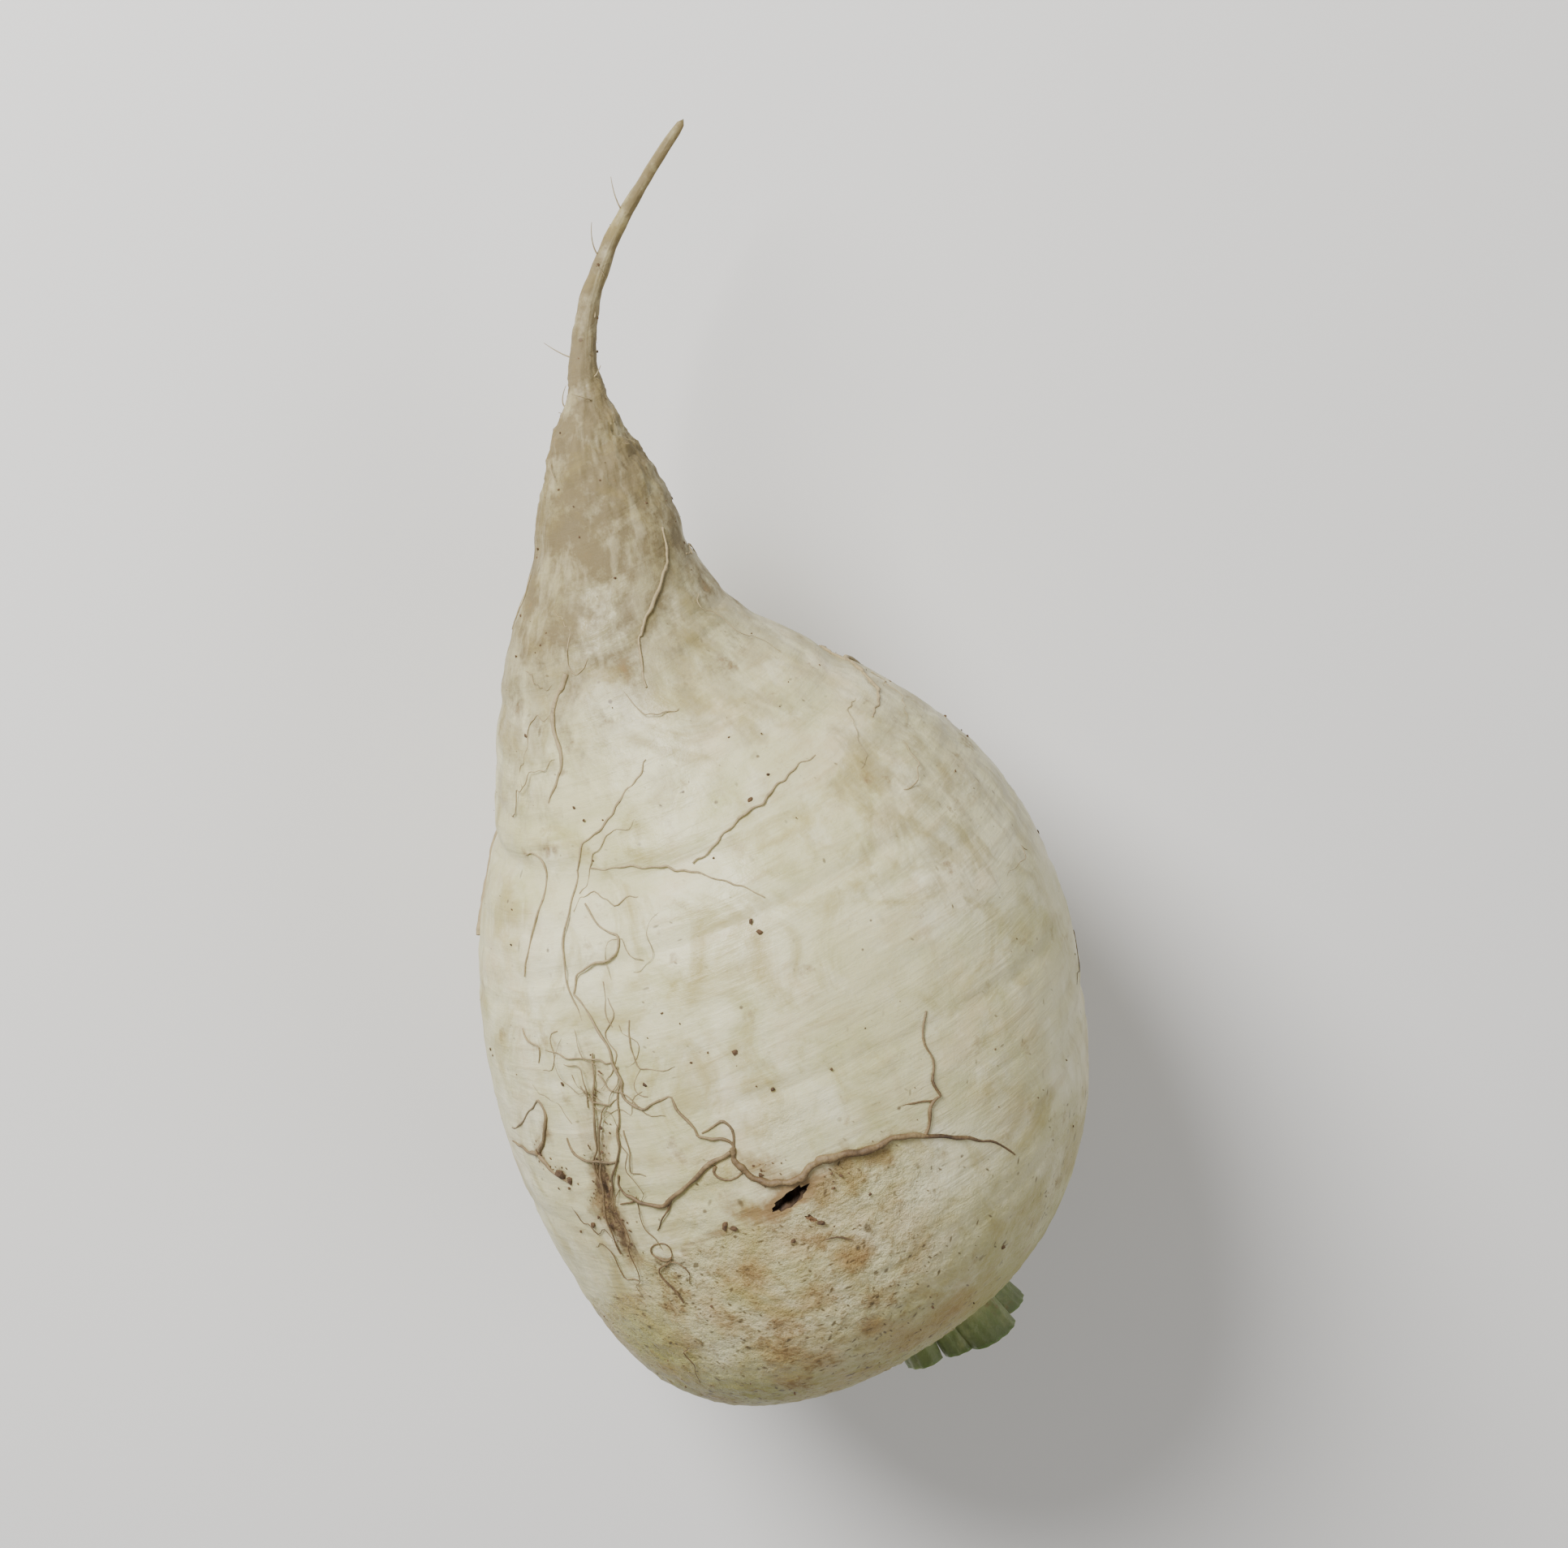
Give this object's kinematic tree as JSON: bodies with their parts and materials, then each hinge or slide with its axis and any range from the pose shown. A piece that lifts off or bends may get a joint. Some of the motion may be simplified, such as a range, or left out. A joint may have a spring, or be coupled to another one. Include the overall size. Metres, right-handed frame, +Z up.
{
  "type": "daikon radish",
  "caption": "Short white winter radish lying on its side, with a thin curved tail, side roots on its skin and cut green leaf stalks at the crown.",
  "frame": {"origin": "middle of the small flat spot that the root rests on", "axes": "+Z up; the tail points towards -X and the crown with the cut leaf stalks towards +X"},
  "size_m": [0.1538, 0.0758, 0.0717],
  "materials": {
    "root_skin": "satin",
    "stalk_green": "satin"
  },
  "bodies": {
    "root": {"root_body": "root_skin", "leaf_stalks": "stalk_green"}
  },
  "joints": []
}
